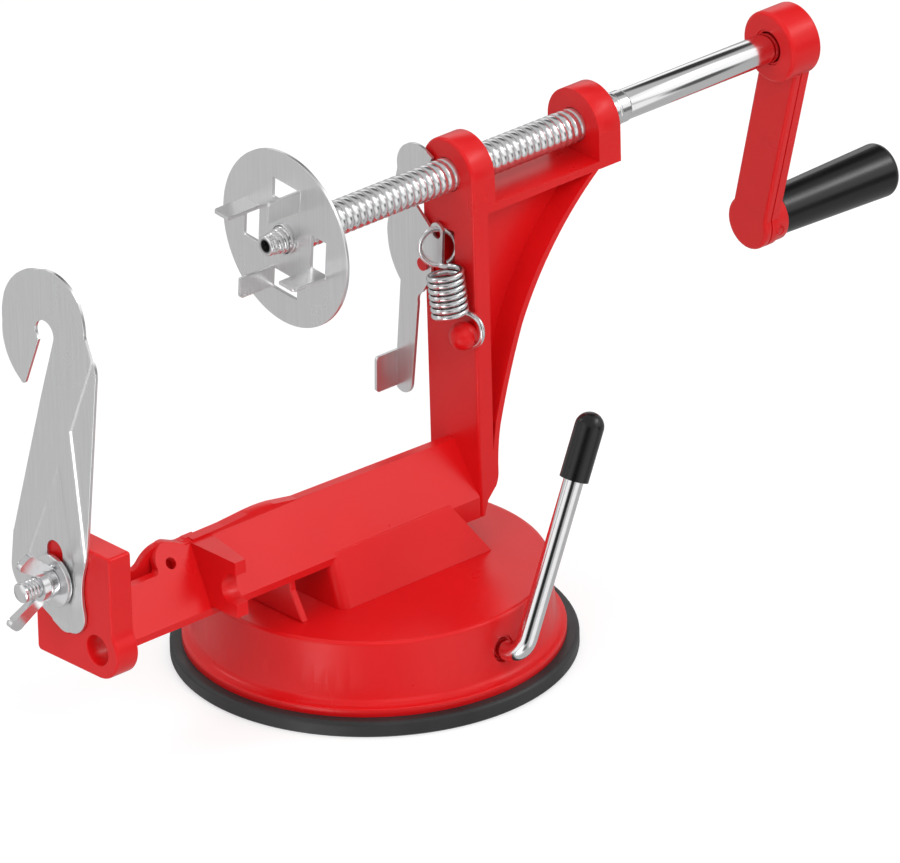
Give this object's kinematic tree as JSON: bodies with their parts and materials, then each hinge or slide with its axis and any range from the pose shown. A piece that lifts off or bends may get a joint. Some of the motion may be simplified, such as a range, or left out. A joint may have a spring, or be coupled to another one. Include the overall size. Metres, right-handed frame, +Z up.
{
  "type": "tornado potato cutter",
  "caption": "Hand cranked spiral slicer for potatoes: pronged disc on a feed screw, hooked blade, sprung latch and suction base.",
  "frame": {"origin": "centre of the round base in the plane of the table", "axes": "+X along the feed screw from the blade to the crank, +Z up, so the suction lever is on the -Y side"},
  "size_m": [0.3575, 0.1248, 0.168],
  "materials": {
    "red_plastic": "glossy with a fine satin grain",
    "black_rubber": "matt",
    "black_plastic": "satin",
    "chrome_steel": "polished",
    "plated_steel": "zinc plated",
    "sheet_steel": "fine satin"
  },
  "bodies": {
    "base": {"base_bell": "red_plastic", "suction_pad": "black_rubber", "frame_screws": "plated_steel", "frame_column": "red_plastic", "frame_trough": "red_plastic", "frame_block": "red_plastic", "frame_foot": "red_plastic", "frame_gusset": "red_plastic", "spring_post": "red_plastic", "latch_pivot": "red_plastic", "latch_spring": "chrome_steel", "blade_bolt": "chrome_steel"},
    "lever": {"lever_rod": "chrome_steel", "lever_cam": "black_plastic", "lever_cap": "black_plastic", "axle_clip": "plated_steel"},
    "stud": {"pull_stud": "plated_steel", "pad_core": "black_rubber"},
    "latch": {"latch_plate": "sheet_steel"},
    "sleeve": {"spacer_sleeve": "chrome_steel"},
    "spindle": {"lead_screw": "chrome_steel", "disc_nut": "chrome_steel", "prong_disc": "sheet_steel", "spigot": "chrome_steel", "crank_arm": "red_plastic", "crank_screw": "plated_steel", "grip_axle": "plated_steel", "grip_retainer": "plated_steel"},
    "hand_grip": {"grip": "black_plastic", "grip_plug": "black_plastic"},
    "cutter": {"blade": "sheet_steel"},
    "clamp_washer": {"blade_washer": "chrome_steel"},
    "clamp_nut": {"wing_nut": "chrome_steel"}
  },
  "joints": [
    {"name": "suction_lever", "type": "hinge", "parent": "base", "child": "lever", "pos_m": [0.0038, 0, 0.0163], "axis": [0, 1, 0], "range_deg": [-100, 0]},
    {"name": "pad_lift", "type": "slide", "parent": "base", "child": "stud", "axis": [0, 0, 1], "range_m": [0, 0.0021]},
    {"name": "latch_swing", "type": "hinge", "parent": "base", "child": "latch", "pos_m": [0.0316, 0.0092, 0.11], "axis": [1, 0, 0], "range_deg": [-12, 0], "stiffness_Nm_per_rad": 0.3, "springref_deg": 17.19, "deforming": ["latch_spring"]},
    {"name": "turn", "type": "hinge", "parent": "sleeve", "child": "spindle", "pos_m": [0, 0, 0.141], "axis": [1, 0, 0], "range_deg": [-9000, 6300]},
    {"name": "feed", "type": "slide", "parent": "base", "child": "sleeve", "axis": [1, 0, 0], "range_m": [-0.0652, 0.0457]},
    {"name": "grip_spin", "type": "hinge", "parent": "spindle", "child": "hand_grip", "pos_m": [0.19, 0.0169, 0.0763], "axis": [1, 0, 0], "continuous": true},
    {"name": "clamp_travel", "type": "slide", "parent": "base", "child": "clamp_washer", "axis": [1, 0, 0], "range_m": [-0.002, 0]},
    {"name": "nut_turn", "type": "hinge", "parent": "clamp_washer", "child": "clamp_nut", "pos_m": [-0.125, -0.0006, 0.0635], "axis": [1, 0, 0], "range_deg": [-730, 0]},
    {"name": "blade_adjust", "type": "slide", "parent": "base", "child": "cutter", "axis": [0, 0, 1], "range_m": [-0.008, 0.004]}
  ],
  "couplings": [
    {"joint": "pad_lift", "follows": "suction_lever", "m_per_rad": -0.0011459},
    {"joint": "feed", "follows": "turn", "m_per_rad": 0.0004138},
    {"joint": "nut_turn", "follows": "clamp_travel", "rad_per_m": 6283.2}
  ]
}
